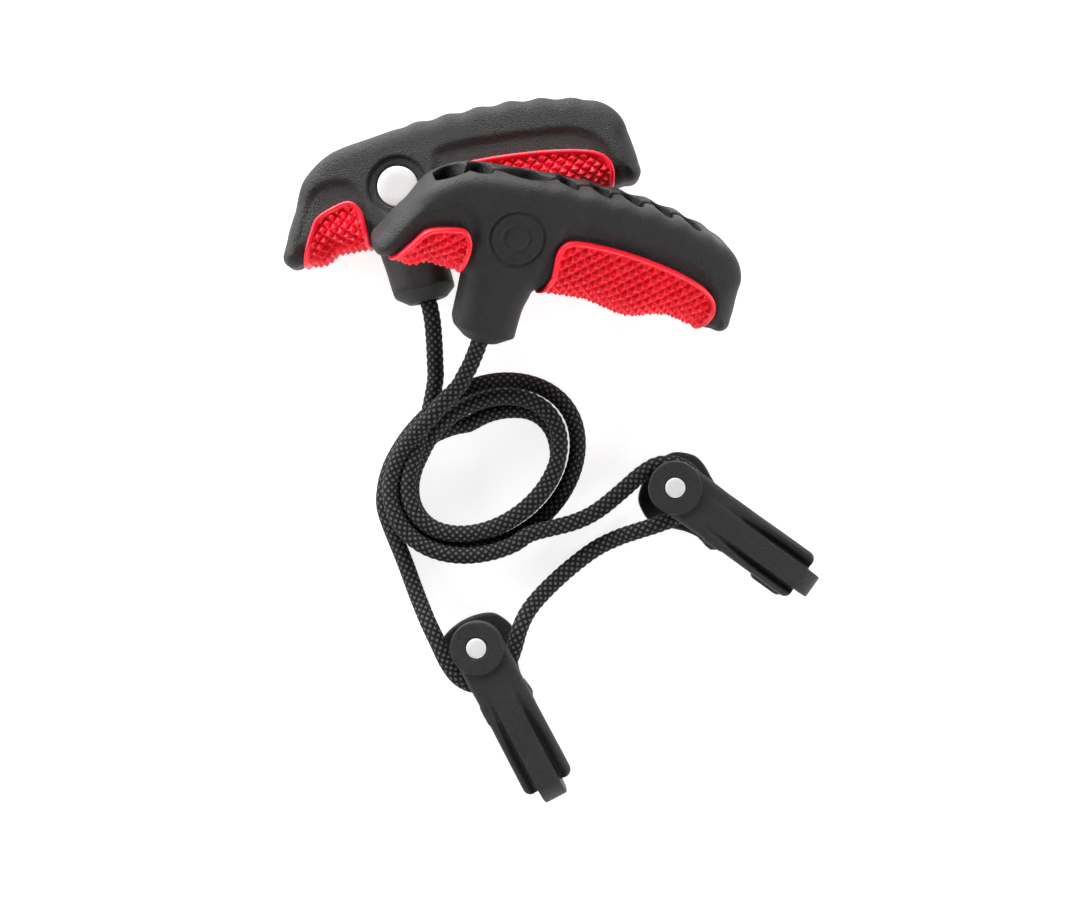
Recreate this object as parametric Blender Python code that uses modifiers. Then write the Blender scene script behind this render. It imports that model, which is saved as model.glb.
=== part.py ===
"""Rope cocking aid: two mirror-image T-handles, one braided rope, two string hooks that ride on it with a sheave each.

Metres, +Z up, lying on a table at z = 0. Sizes below are in millimetres and go through MM once.
A handle's own frame has X along its bar towards the long arm, Y up to the ridge and Z out of its upper face.
A hook's own frame has its origin under the axle, X towards the tip and Z up along the axle.
"""

import math

import bmesh
import bpy
from mathutils import Matrix, Vector

MM = 0.001

# Handle body
BODY_THICK = 25.0
EDGE_R = 8.0
PAD_GAP = 0.3
PAD_PROUD = 1.3
STEM_END = (2.6, -43.3)
STEM_LEAN = 3.6
BORE_R = 3.6
MOUTH_R = 5.6
MOUTH_DEEP = 3.2
CHAMBER_FLOOR = 4.0
MAGNET_R = 7.4
MAGNET_DEEP = 3.0
DISH_R = 10.6
DISH_DEEP = 0.9
RIDGE_TOP = 24.0
SLIT_FLOOR = 15.0
SLIT_WIDE = 3.0
POCKET_FLOOR = 9.0
ROUND_POCKETS = ((-27.8, 4.8), (-17.2, 4.0), (15.4, 3.5), (27.8, 3.5), (39.8, 3.5), (51.7, 3.5), (63.4, 3.5))
CHAMBER_CENTRE = -1.0
CHAMBER_LONG = 20.0
CHAMBER_WIDE = 10.4

# Rope and its two end knots
ROPE_R = 3.1
KNOT_R = 4.5
WASHER_R = 4.7
WASHER_THICK = 1.0
MOUTH_PIVOT = 2.6
TAIL_SHORT = 1.9
WASHER_LIFT = 0.6

# Hook
REAR_PLATE = 4.5
SHEAVE_GAP = 9.0
FRONT_PLATE = 5.0
GAP_TOP = REAR_PLATE + SHEAVE_GAP
PLATE_TOP = GAP_TOP + FRONT_PLATE
BOSS_UP = 1.2
BOSS_R = 9.7
SHANK_HALF = 9.5
SHANK_END = 57.0
WEB_FROM = 20.5
WEB_TO = 26.5
RIB_HALF = 4.6
TIP_END = 63.0
LIP_FROM = 42.6
LIP_SIDES = (-10.1, 8.6)
LIP_TO = SHANK_END - 1.0
CLAW_TOP_R = 9.0
CLAW_FOOT_R = 6.0
THROAT_R = 3.0
CORNER_R = 2.6
VALLEY_FROM = 18.0
VALLEY_WIDE = 2.3
VALLEY_DEEP = 1.2
VALLEY_TILT = 1.2
HEAD_SEAT = 0.6
CLIP_SEAT = 1.5
CLIP_SPAN = (0.4, 1.2)
PIN_FOOT = 0.3
PIN_EDGE = 0.4
MELD = 0.5
AXLE_R = 2.5
HEAD_R = 3.7
SHEAVE_R = 9.0
SHEAVE_GROOVE_R = 4.4
SHEAVE_BORE_R = 2.56
FLANGE = 0.9
SIDE_GAP = 0.3

# Where each piece lies on the table. The whole layout is moved so that its middle is over the origin.
LAYOUT_AT = (0.385, -0.632, 0.0)
HANDLE_B_AT = (-56.3, 97.2, BODY_THICK / 2 + PAD_PROUD)
HANDLE_B_TURN = 11.0
HANDLE_A_AT = (-15.1, 80.6, 36.6)
HANDLE_A_TURN = -14.6
HANDLE_A_PITCH = 16.0
HANDLE_A_ROLL = 20.0
HOOK_1_AT = (-28.2, -70.0, 0.0)
HOOK_1_TURN = -62.2
HOOK_2_AT = (44.2, -11.6, 0.0)
HOOK_2_TURN = -35.8

# Coil: an oval ring of rope, three turns in two layers
COIL_AT = (-24.9, -5.2)
COIL_TURN = 40.0
COIL_OUTER = (41.4, 33.0)
COIL_HOLE = (26.2, 17.8)
COIL_HIGH = 12.6
COIL_EDGE = 3.0

# Core of the handle's outline: the edge radius is added round it. Corners of the stem are arcs.
SHORT_ARM_TIP = (-37.0, -15.4, 1.0)
RIDGE_CORE = (
    (-34.6, -8.2), (-30.0, 1.3), (-26.6, 5.6), (-18.5, 9.9), (-5.8, 12.0), (6.9, 13.8), (20.0, 14.7),
    (36.0, 15.0), (48.4, 14.5), (61.6, 12.4),
)
LONG_ARM_END = (71.6, 2.0, 7.2)
LONG_ARM_HEEL = (77.4, -6.6, 1.6)
GRIP_CORE = ((70.0, -5.0), (63.0, -4.4), (55.0, -6.2), (48.0, -8.8), (40.0, -8.0), (31.6, -7.2))
RIGHT_CORNER = (16.2, -20.0, 11.0)
STEM_CORE = ((5.2, -27.0), (5.7, -34.6), (3.4, -35.4), (0.8, -35.4), (-1.8, -34.6), (-2.8, -27.0))
LEFT_CORNER = (-14.4, -22.6, 11.0)
SHORT_ARM_CORE = ((-20.6, -10.4), (-27.6, -11.1), (-33.0, -13.6))

LONG_PAD = (
    (16.4, -10.0), (15.6, -1.0), (18.5, 3.8), (27.0, 4.9), (38.0, 5.1), (50.0, 4.6), (60.0, 3.5), (70.0, 1.5),
    (75.6, -0.9), (78.0, -5.0), (77.4, -10.0), (75.6, -16.0), (75.0, -30.0), (18.4, -30.0),
)
SHORT_PAD = (
    (-38.0, -21.6), (-33.6, -10.0), (-31.6, -6.6), (-27.5, -4.2), (-19.6, -2.2), (-16.2, -3.6), (-14.6, -7.5),
    (-13.9, -19.8), (-13.9, -30.0), (-39.0, -30.0),
)

REAR_CHEEK = (
    (-9.2, 0.0), (-8.6, 5.2), (-6.8, 10.0), (-3.8, 13.2), (0.6, 14.8), (5.2, 14.2), (9.6, 12.0), (14.0, 10.4),
    (19.0, 9.6), (27.0, 9.5),
)

# The rope's routes outside the coil, from the hand-laid curve: x, y, height of the centre line
RUN_B = (
    (-46.2, 57.7, 13.8), (-45.4, 54.6, 13.7), (-44.6, 50.5, 13.2), (-44.1, 45.5, 12.2), (-43.8, 39.5, 11.0),
    (-43.6, 33.2, 10.0), (-43.6, 27.8, 9.6),
)
RUN_A = (
    (-26.1, 43.9, 22.5), (-26.9, 41.5, 21.6), (-28.4, 37.6, 19.8), (-30.8, 32.2, 18.0), (-33.0, 28.4, 17.1),
    (-34.8, 25.2, 16.7),
)
RUN_HOOKS = (
    (7.4, -24.6, 8.2), (16.4, -20.2, 7.6), (25.1, -13.2, 7.8), (32.4, -6.8, 8.6), (38.8, -3.2, 9.0),
    (45.7, -3.3, 9.0), (51.0, -6.8, 9.0), (53.2, -12.6, 9.0), (50.7, -18.6, 9.0), (44.8, -22.8, 9.0),
    (37.8, -25.6, 8.8), (30.9, -27.9, 6.8), (23.6, -30.6, 4.0), (15.0, -35.0, 3.2), (4.2, -43.4, 3.2),
    (-4.8, -52.0, 4.2), (-9.8, -58.2, 7.0), (-12.6, -64.2, 8.9), (-14.6, -71.2, 9.0), (-17.4, -78.0, 9.0),
    (-22.1, -83.0, 9.0), (-28.9, -84.6, 9.0), (-34.9, -81.9, 9.0), (-39.2, -76.3, 9.0), (-42.6, -69.2, 8.9),
    (-46.1, -62.2, 7.4), (-49.4, -55.0, 4.4), (-52.4, -47.4, 3.2), (-55.4, -39.2, 3.2),
)

PLASTIC = ("black_plastic", (0.035, 0.036, 0.038), 0.62, 0.0)
RUBBER = ("red_rubber", (0.76, 0.03, 0.055), 0.55, 0.0)
STEEL = ("bright_steel", (0.82, 0.82, 0.82), 0.3, 1.0)
CORD = ("black_braid", (0.03, 0.03, 0.032), 0.8, 0.0)
SHEAVE = ("sheave_plastic", (0.05, 0.05, 0.052), 0.5, 0.0)


def clear_scene():
    for obj in list(bpy.data.objects):
        bpy.data.objects.remove(obj, do_unlink=True)


def collection(name):
    made = bpy.data.collections.new(name)
    bpy.context.scene.collection.children.link(made)
    return made


def material(recipe):
    name, colour, roughness, metallic = recipe
    found = bpy.data.materials.get(name)
    if found:
        return found
    made = bpy.data.materials.new(name)
    made.use_nodes = True
    shader = made.node_tree.nodes["Principled BSDF"]
    shader.inputs["Base Color"].default_value = (*colour, 1.0)
    shader.inputs["Roughness"].default_value = roughness
    shader.inputs["Metallic"].default_value = metallic
    return made


def scaled(points):
    return [tuple(c * MM for c in point) for point in points]


def arc(centre_x, centre_y, radius, start, end, steps):
    """Points of a circle's arc, angles in degrees."""
    turns = [math.radians(start + (end - start) * i / steps) for i in range(steps + 1)]
    return [(centre_x + radius * math.cos(t), centre_y + radius * math.sin(t)) for t in turns]


def node(name, mesh, recipe, frame):
    """A visible part: its mesh in the frame of an empty, which places it."""
    obj = bpy.data.objects.new(name, mesh)
    mesh.materials.clear()
    mesh.materials.append(material(recipe))
    parts.objects.link(obj)
    obj.parent = frame
    return obj


def cutter(name, mesh):
    obj = bpy.data.objects.new(name, mesh)
    cutters.objects.link(obj)
    obj.hide_render = True
    obj.display_type = "WIRE"
    return obj


def evaluated_mesh(obj, name):
    """The mesh of a curve or of an object with modifiers, welded; the object itself is removed."""
    bpy.context.view_layer.update()
    graph = bpy.context.evaluated_depsgraph_get()
    mesh = bpy.data.meshes.new_from_object(obj.evaluated_get(graph))
    mesh.name = name
    bpy.data.objects.remove(obj, do_unlink=True)
    weld(mesh)
    return mesh


def weld(mesh):
    work = bmesh.new()
    work.from_mesh(mesh)
    bmesh.ops.remove_doubles(work, verts=work.verts, dist=0.00002)
    bmesh.ops.recalc_face_normals(work, faces=work.faces)
    work.to_mesh(mesh)
    work.free()


def plate(name, outlines, half_thick, edge, detail=1, smooth=1):
    """A flat outline as a filled curve: half_thick each way, and an edge radius added round it."""
    curve = bpy.data.curves.new(name, "CURVE")
    curve.dimensions = "2D"
    curve.fill_mode = "BOTH"
    curve.extrude = (half_thick - edge) * MM
    curve.bevel_depth = edge * MM
    curve.bevel_resolution = detail
    curve.resolution_u = smooth
    for outline in outlines:
        spline = curve.splines.new("BEZIER")
        spline.bezier_points.add(len(outline) - 1)
        for point, (x, y) in zip(spline.bezier_points, scaled(outline)):
            point.co = (x, y, 0.0)
            point.handle_left_type = "AUTO" if smooth > 1 else "VECTOR"
            point.handle_right_type = "AUTO" if smooth > 1 else "VECTOR"
        spline.use_cyclic_u = True
    obj = bpy.data.objects.new(name, curve)
    cutters.objects.link(obj)
    return evaluated_mesh(obj, name)


def cone(name, low_r, high_r, low, high, sides=24):
    """A cylinder or cone along Z from low to high."""
    work = bmesh.new()
    place = Matrix.Translation((0, 0, (low + high) / 2 * MM))
    bmesh.ops.create_cone(
        work, cap_ends=True, segments=sides, radius1=low_r * MM, radius2=high_r * MM,
        depth=(high - low) * MM, matrix=place,
    )
    mesh = bpy.data.meshes.new(name)
    work.to_mesh(mesh)
    work.free()
    return mesh


def box(name, low, high):
    work = bmesh.new()
    size = [(b - a) * MM for a, b in zip(low, high)]
    middle = [(a + b) / 2 * MM for a, b in zip(low, high)]
    bmesh.ops.create_cube(work, size=1.0, matrix=Matrix.LocRotScale(middle, None, size))
    mesh = bpy.data.meshes.new(name)
    work.to_mesh(mesh)
    work.free()
    return mesh


def turned(name, profile, sides=28):
    """A solid of revolution about Z from an (r, z) profile that starts and ends on the axis or closes."""
    mesh = bpy.data.meshes.new(name)
    points = [(r * MM, 0.0, z * MM) for r, z in profile]
    mesh.from_pydata(points, [(i, i + 1) for i in range(len(points) - 1)], [])
    obj = bpy.data.objects.new(name, mesh)
    cutters.objects.link(obj)
    screw = obj.modifiers.new("turn", "SCREW")
    screw.steps = sides
    screw.render_steps = sides
    screw.use_merge_vertices = True
    screw.merge_threshold = 0.00001
    return evaluated_mesh(obj, name)


def tube(name, route, radius, sides_detail=2):
    """A rope run as a round tube on a smooth curve through its route."""
    curve = bpy.data.curves.new(name, "CURVE")
    curve.dimensions = "3D"
    curve.bevel_depth = radius * MM
    curve.bevel_resolution = sides_detail
    curve.use_fill_caps = True
    points = smooth_through(route, 2)
    spline = curve.splines.new("POLY")
    spline.points.add(len(points) - 1)
    for point, place in zip(spline.points, scaled(points)):
        point.co = (*place, 1.0)
    obj = bpy.data.objects.new(name, curve)
    cutters.objects.link(obj)
    return evaluated_mesh(obj, name)


def smooth_through(route, steps):
    """Catmull-Rom points through a route, steps to each span."""
    ends = [tuple(2 * a - b for a, b in zip(route[0], route[1]))]
    tail = [tuple(2 * a - b for a, b in zip(route[-1], route[-2]))]
    knots = [Vector(p) for p in ends + list(route) + tail]
    points = []
    for i in range(1, len(knots) - 2):
        p0, p1, p2, p3 = knots[i - 1:i + 3]
        for step in range(steps):
            t = step / steps
            bend = 2 * p0 - 5 * p1 + 4 * p2 - p3
            twist = 3 * p1 - p0 - 3 * p2 + p3
            points.append(tuple(0.5 * (2 * p1 + (p2 - p0) * t + bend * t * t + twist * t ** 3)))
    return points + [tuple(knots[-2])]


def cut(obj, tool, operation="DIFFERENCE"):
    modifier = obj.modifiers.new(tool.name, "BOOLEAN")
    modifier.operation = operation
    modifier.solver = "EXACT"
    modifier.object = tool
    tool.parent = obj.parent


def handle_outline():
    """The core outline, clockwise from the short arm's tip."""
    tip = arc(*SHORT_ARM_TIP, 280, 150, 4)
    end = arc(*LONG_ARM_END, 75, 0, 4) + arc(*LONG_ARM_HEEL, 0, -100, 3)
    right = arc(*RIGHT_CORNER, 90, 180, 4)
    left = arc(*LEFT_CORNER, 0, 90, 4)
    return [*tip, *RIDGE_CORE, *end, *GRIP_CORE, *right, *STEM_CORE, *left, *SHORT_ARM_CORE]


def handle_solid(name, extra):
    """The handle's rounded form, grown all round by extra."""
    return plate(name, [handle_outline()], BODY_THICK / 2 + extra, EDGE_R + extra, detail=1, smooth=1)


def along_stem():
    """A frame with its origin at the stem's end and Z pointing out of the mouth, along the bore."""
    lean = Matrix.Rotation(math.radians(STEM_LEAN), 4, "Z")
    out = Matrix.Rotation(math.radians(90), 4, "X")
    return Matrix.Translation((STEM_END[0] * MM, STEM_END[1] * MM, 0)) @ lean @ out


def stem_piece(mesh):
    """Moves a mesh made along Z from the stem's end onto the bore's line."""
    mesh.transform(along_stem())
    return mesh


def stem_length(height):
    """Distance along the bore from the stem's end back to a height in the handle's frame."""
    return (height - STEM_END[1]) / math.cos(math.radians(STEM_LEAN))


def cut_ridge(body, tag):
    """Core-outs in the ridge: round pockets, a slit that joins them, and the knot's chamber."""
    flat = Matrix.Rotation(math.radians(-90), 4, "X")
    for index, (x, radius) in enumerate(ROUND_POCKETS):
        mesh = cone(f"pocket_{index}{tag}", radius, radius, POCKET_FLOOR, RIDGE_TOP, sides=12)
        mesh.transform(Matrix.Translation((x * MM, 0, 0)) @ flat)
        cut(body, cutter(mesh.name, mesh))
    low = (ROUND_POCKETS[0][0], SLIT_FLOOR, -SLIT_WIDE / 2)
    slit = box(f"slit{tag}", low, (ROUND_POCKETS[-1][0], RIDGE_TOP, SLIT_WIDE / 2))
    cut(body, cutter(slit.name, slit))
    end = CHAMBER_WIDE / 2
    reach = CHAMBER_LONG / 2 - end
    outline = arc(CHAMBER_CENTRE + reach, 0, end, -90, 90, 6) + arc(CHAMBER_CENTRE - reach, 0, end, 90, 270, 6)
    chamber = plate(f"chamber{tag}", [outline], (RIDGE_TOP - CHAMBER_FLOOR) / 2, 0.0)
    chamber.transform(Matrix.Translation((0, (RIDGE_TOP + CHAMBER_FLOOR) / 2 * MM, 0)) @ flat)
    cut(body, cutter(chamber.name, chamber))


def cut_bore(body, tag):
    back = -stem_length(CHAMBER_FLOOR + 1.0)
    bore = stem_piece(cone(f"bore{tag}", BORE_R, BORE_R, back, 1.0, sides=16))
    cut(body, cutter(bore.name, bore))
    wide = MOUTH_R + (MOUTH_R - BORE_R) / MOUTH_DEEP
    mouth = stem_piece(cone(f"mouth{tag}", BORE_R, wide, -MOUTH_DEEP, 1.0, sides=16))
    cut(body, cutter(mouth.name, mouth))


def cut_magnet_seat(body, side, tag):
    face = BODY_THICK / 2
    turn = Matrix.Rotation(0 if side > 0 else math.pi, 4, "X")
    seat = cone(f"seat{tag}", MAGNET_R + 0.3, MAGNET_R + 0.3, face - DISH_DEEP - MAGNET_DEEP - 0.3, face + 1)
    dish = cone(f"dish{tag}", MAGNET_R + 0.9, DISH_R, face - DISH_DEEP, face + 0.01)
    for mesh in (seat, dish):
        mesh.transform(turn)
        cut(body, cutter(mesh.name, mesh))


def make_magnet(frame, side, tag):
    top = BODY_THICK / 2 - DISH_DEEP
    mesh = turned(f"magnet{tag}", [
        (0, top), (MAGNET_R - 0.4, top), (MAGNET_R, top - 0.4), (MAGNET_R, top - MAGNET_DEEP), (0, top - MAGNET_DEEP),
    ])
    mesh.transform(Matrix.Rotation(0 if side > 0 else math.pi, 4, "X"))
    node(f"magnet{tag}", mesh, STEEL, frame)


def make_pad(frame, outline, name):
    """A rubber pad: the handle's form grown by the pad's height, kept inside its outline, hollowed by the body."""
    pad = node(name, handle_solid(name, PAD_PROUD), RUBBER, frame)
    window = plate(f"{name}_window", [outline], BODY_THICK, 0.0)
    cut(pad, cutter(window.name, window), "INTERSECT")
    core = handle_solid(f"{name}_core", PAD_GAP)
    cut(pad, cutter(core.name, core))


def make_rope_end(frame, tag):
    """What holds the rope in the handle: its knot on a washer in the chamber, and the tail through the bore."""
    floor = -stem_length(CHAMBER_FLOOR) + PAD_GAP
    high, low = floor - WASHER_LIFT, floor - WASHER_LIFT - WASHER_THICK
    washer = turned(f"knot_washer{tag}", [
        (BORE_R, high), (WASHER_R, high), (WASHER_R, low), (BORE_R, low), (BORE_R, high),
    ], sides=20)
    node(f"knot_washer{tag}", stem_piece(washer), STEEL, frame)
    centre = low - PAD_GAP - KNOT_R
    knot = turned(f"rope_knot{tag}", [
        (KNOT_R * math.sin(math.radians(a)), centre + KNOT_R * math.cos(math.radians(a))) for a in range(0, 181, 20)
    ], sides=16)
    node(f"rope_knot{tag}", stem_piece(knot), CORD, frame)
    start = centre + KNOT_R + PAD_GAP
    tail = cone(f"rope_tail{tag}", ROPE_R, ROPE_R, start, -MOUTH_PIVOT - TAIL_SHORT, sides=14)
    node(f"rope_tail{tag}", stem_piece(tail), CORD, frame)


def make_handle(tag, place, magnet_side):
    frame = bpy.data.objects.new(f"handle{tag}", None)
    parts.objects.link(frame)
    frame.matrix_world = place
    body = node(f"handle_body{tag}", handle_solid(f"handle_body{tag}", 0.0), PLASTIC, frame)
    cut_ridge(body, tag)
    cut_bore(body, tag)
    cut_magnet_seat(body, magnet_side, tag)
    make_magnet(frame, magnet_side, tag)
    make_pad(frame, LONG_PAD, f"long_pad{tag}")
    make_pad(frame, SHORT_PAD, f"short_pad{tag}")
    make_rope_end(frame, tag)


def lifted(mesh, height):
    mesh.transform(Matrix.Translation((0, 0, height * MM)))
    return mesh


def shank_outline():
    end = arc(SHANK_END - CORNER_R, SHANK_HALF - CORNER_R, CORNER_R, 90, 0, 3)
    mirrored = [(x, -y) for x, y in reversed(end)]
    return arc(0, 0, BOSS_R, -90, -270, 14) + end + mirrored


def tip_profile():
    """The claw seen from the side, x along the hook and y up: the bend from the shank down to the lip."""
    outer = arc(TIP_END - CLAW_TOP_R, PLATE_TOP - CLAW_TOP_R, CLAW_TOP_R, 90, 0, 5)
    outer += arc(TIP_END - CLAW_FOOT_R, CLAW_FOOT_R, CLAW_FOOT_R, 0, -90, 4)
    inner = arc(SHANK_END - THROAT_R, REAR_PLATE + THROAT_R, THROAT_R, -90, 0, 3)
    inner += arc(SHANK_END - THROAT_R, GAP_TOP - THROAT_R, THROAT_R, 0, 90, 3)
    root, foot = WEB_TO + 14, LIP_FROM + 6
    return [(root, PLATE_TOP - 0.2), *outer, (foot, 0), (foot, REAR_PLATE), *inner, (root, GAP_TOP)]


def make_hook_body(frame, tag):
    front = plate(f"hook_body{tag}", [shank_outline()], FRONT_PLATE / 2, 0.0)
    body = node(f"hook_body{tag}", lifted(front, (GAP_TOP + PLATE_TOP) / 2), PLASTIC, frame)
    cheek = REAR_CHEEK + tuple((x, -y) for x, y in reversed(REAR_CHEEK[1:]))
    web_half = SHANK_HALF - SIDE_GAP
    pieces = [
        lifted(plate(f"rear_cheek{tag}", [cheek], REAR_PLATE / 2, 0.0), REAR_PLATE / 2),
        box(f"web{tag}", (WEB_FROM, -web_half, MELD), (WEB_TO, web_half, PLATE_TOP - MELD)),
        cone(f"boss{tag}", BOSS_R - 0.1, BOSS_R - 0.5, PLATE_TOP - 2 * MELD, PLATE_TOP + BOSS_UP, sides=32),
        box(f"lip{tag}", (LIP_FROM, LIP_SIDES[0], 0), (LIP_TO, LIP_SIDES[1], REAR_PLATE)),
    ]
    tip = plate(f"tip{tag}", [tip_profile()], RIB_HALF, 0.0)
    tip.transform(Matrix.Rotation(math.radians(90), 4, "X"))
    pieces.append(tip)
    for mesh in pieces:
        cut(body, cutter(mesh.name, mesh), "UNION")
    above = PLATE_TOP + BOSS_UP + 1
    for mesh in (
        cone(f"axle_hole{tag}", AXLE_R + SIDE_GAP, AXLE_R + SIDE_GAP, -1, above, sides=20),
        cone(f"head_seat{tag}", HEAD_R + SIDE_GAP, HEAD_R + SIDE_GAP, PLATE_TOP - HEAD_SEAT, above, sides=24),
        cone(f"clip_seat{tag}", HEAD_R + 2 * SIDE_GAP, HEAD_R + 2 * SIDE_GAP, -1, CLIP_SEAT, sides=24),
    ):
        cut(body, cutter(mesh.name, mesh))
    for side, low in (("left", RIB_HALF + SIDE_GAP), ("right", -RIB_HALF - SIDE_GAP - VALLEY_WIDE)):
        corner = (VALLEY_FROM, low, PLATE_TOP - VALLEY_DEEP)
        valley = box(f"valley_{side}{tag}", corner, (SHANK_END + 1, low + VALLEY_WIDE, PLATE_TOP + MELD))
        valley.transform(Matrix.Rotation(math.radians(VALLEY_TILT), 4, "Y"))
        cut(body, cutter(valley.name, valley))


def make_axle(frame, tag):
    head_top = PLATE_TOP + BOSS_UP
    head_low = PLATE_TOP - HEAD_SEAT + SIDE_GAP
    axle = turned(f"axle_pin{tag}", [
        (0, head_top), (HEAD_R - PIN_EDGE, head_top), (HEAD_R, head_top - PIN_EDGE), (HEAD_R, head_low),
        (AXLE_R, head_low), (AXLE_R, PIN_FOOT), (0, PIN_FOOT),
    ])
    node(f"axle_pin{tag}", axle, STEEL, frame)
    inner, outer = AXLE_R + 0.25, HEAD_R + SIDE_GAP
    low, high = CLIP_SPAN
    clip = turned(
        f"axle_clip{tag}", [(inner, high), (outer, high), (outer, low), (inner, low), (inner, high)], sides=20
    )
    node(f"axle_clip{tag}", clip, STEEL, frame)


def make_sheave(frame, tag):
    low = REAR_PLATE + SIDE_GAP
    high = GAP_TOP - SIDE_GAP
    sheave = turned(f"sheave{tag}", [
        (SHEAVE_BORE_R, high), (SHEAVE_R, high), (SHEAVE_R, high - FLANGE * 0.6), (SHEAVE_GROOVE_R, high - FLANGE),
        (SHEAVE_GROOVE_R, low + FLANGE), (SHEAVE_R, low + FLANGE * 0.6), (SHEAVE_R, low), (SHEAVE_BORE_R, low),
        (SHEAVE_BORE_R, high),
    ])
    node(f"sheave{tag}", sheave, SHEAVE, frame)


def make_hook(tag, place, turn):
    frame = bpy.data.objects.new(f"hook{tag}", None)
    parts.objects.link(frame)
    frame.matrix_world = turned_by(place, turn)
    make_hook_body(frame, tag)
    make_axle(frame, tag)
    make_sheave(frame, tag)


def oval(half, steps=36):
    """An oval about the coil's centre, turned to the coil's long axis."""
    turn = math.radians(COIL_TURN)
    points = []
    for i in range(steps):
        t = 2 * math.pi * i / steps
        x, y = half[0] * math.cos(t), half[1] * math.sin(t)
        points.append((
            COIL_AT[0] + x * math.cos(turn) - y * math.sin(turn),
            COIL_AT[1] + x * math.sin(turn) + y * math.cos(turn),
        ))
    return points


def make_rope():
    frame = bpy.data.objects.new("rope", None)
    parts.objects.link(frame)
    frame.matrix_world = turned_by((0.0, 0.0, 0.0), 0.0)
    outer = [h - COIL_EDGE for h in COIL_OUTER]
    hole = [h + COIL_EDGE for h in COIL_HOLE]
    coil = plate("rope_coil", [oval(outer), oval(hole)[::-1]], COIL_HIGH / 2, COIL_EDGE)
    node("rope_coil", lifted(coil, COIL_HIGH / 2), CORD, frame)
    for name, route in (("rope_run_a", RUN_A), ("rope_run_b", RUN_B), ("rope_run_hooks", RUN_HOOKS)):
        node(name, tube(name, route, ROPE_R), CORD, frame)


def turned_by(place, turn, pitch=0.0, roll=0.0):
    move = Matrix.Translation([(c + d) * MM for c, d in zip(place, LAYOUT_AT)])
    spin = Matrix.Rotation(math.radians(turn), 4, "Z")
    tip = Matrix.Rotation(math.radians(pitch), 4, "Y")
    return move @ spin @ tip @ Matrix.Rotation(math.radians(roll), 4, "X")


clear_scene()
parts = collection("rope_cocking_aid")
cutters = collection("cutters")
make_handle("_a", turned_by(HANDLE_A_AT, HANDLE_A_TURN, HANDLE_A_PITCH, HANDLE_A_ROLL), -1)
make_handle("_b", turned_by(HANDLE_B_AT, HANDLE_B_TURN), 1)
make_hook("_1", HOOK_1_AT, HOOK_1_TURN)
make_hook("_2", HOOK_2_AT, HOOK_2_TURN)
make_rope()
for part in parts.objects:
    if part.type == "MESH":
        part.data.shade_smooth()
        part.data.set_sharp_from_angle(angle=math.radians(35))
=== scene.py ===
"""Rope cocking aid, the visual model: two T-handles with rubber grips, one braided rope, two string hooks.

Shapes are worked out in millimetres as signed distances (negative inside) on a grid, and skinned into meshes.
A handle's own frame has X along its bar, Y up to the ridge and Z out of the face with the engraved rings.
A hook's own frame has its origin under the axle, X towards the tip and Z up along the axle.
In the distance functions u, v, w are a handle's X, Y, Z, and a, p, h are a hook's.
"""

import math

import bmesh
import bpy
import numpy as np
from mathutils import Matrix, Vector


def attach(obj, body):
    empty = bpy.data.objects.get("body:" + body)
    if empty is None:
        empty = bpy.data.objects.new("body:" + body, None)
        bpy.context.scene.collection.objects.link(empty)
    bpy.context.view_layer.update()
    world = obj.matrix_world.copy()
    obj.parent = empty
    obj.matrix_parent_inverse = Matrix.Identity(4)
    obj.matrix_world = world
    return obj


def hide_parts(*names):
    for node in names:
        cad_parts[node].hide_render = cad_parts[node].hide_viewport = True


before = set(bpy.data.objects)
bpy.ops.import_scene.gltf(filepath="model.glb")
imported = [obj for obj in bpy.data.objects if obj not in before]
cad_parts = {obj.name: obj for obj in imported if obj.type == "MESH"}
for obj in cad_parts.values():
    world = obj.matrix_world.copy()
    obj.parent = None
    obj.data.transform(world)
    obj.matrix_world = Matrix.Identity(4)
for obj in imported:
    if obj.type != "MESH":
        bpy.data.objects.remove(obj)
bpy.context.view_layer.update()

MM = 0.001
# Where the layout's own zero lies in the frame
LAYOUT_AT = np.array((0.385, -0.632, 0.0))

# Handle: the body, the stem and its bore, and the magnet's recess
HALF_THICK = 12.5
EDGE_R = 8.0
PAD_PROUD = 1.3
STEM_END = (2.6, -43.3)
STEM_TRIM = 1.5
STEM_LEAN = math.radians(3.6)
STEM_OUT = (math.sin(STEM_LEAN), -math.cos(STEM_LEAN))
BORE_R = 3.6
BORE_DEEP = 48.0
MOUTH_R = 5.6
MOUTH_FLARE = 0.62
MOUTH_DEEP = 8.0
MAGNET_R = 7.4
DISH_R = 10.6
DISH_DEEP = 0.9
# Where each handle lies: place, then turn, pitch and roll in degrees
HANDLE_A = ((-15.1, 80.6, 36.6), -14.6, 16.0, 20.0)
HANDLE_B = ((-56.3, 97.2, HALF_THICK + PAD_PROUD), 11.0, 0.0, 0.0)

# The core outline, which the rounded edge goes round: a rounded corner is a centre and a radius
SHORT_ARM_TIP = (-33.6, -11.6, 1.0)
RIDGE_CORE = (
    (-32.8, -8.2), (-29.0, 1.0), (-25.8, 5.3), (-18.5, 9.7), (-5.8, 11.8), (6.9, 13.6), (20.0, 14.6),
    (36.0, 15.1), (48.4, 14.8), (60.0, 13.4), (66.4, 12.0),
)
LONG_ARM_END = (70.5, 3.4, 7.2)
LONG_ARM_HEEL = (77.2, -4.4, 1.6)
GRIP_CORE = ((70.0, -5.0), (63.0, -4.4), (55.0, -6.2), (48.0, -8.8), (40.0, -8.0), (31.6, -7.2))
RIGHT_CORNER = (16.2, -20.0, 11.0)
STEM_CORE = ((4.3, -27.0), (4.8, -42.0), (-0.3, -42.0), (-2.5, -27.0))
LEFT_CORNER = (-14.4, -20.9, 11.0)
SHORT_ARM_CORE = ((-20.6, -9.9), (-27.6, -9.9), (-32.4, -11.0))
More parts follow.
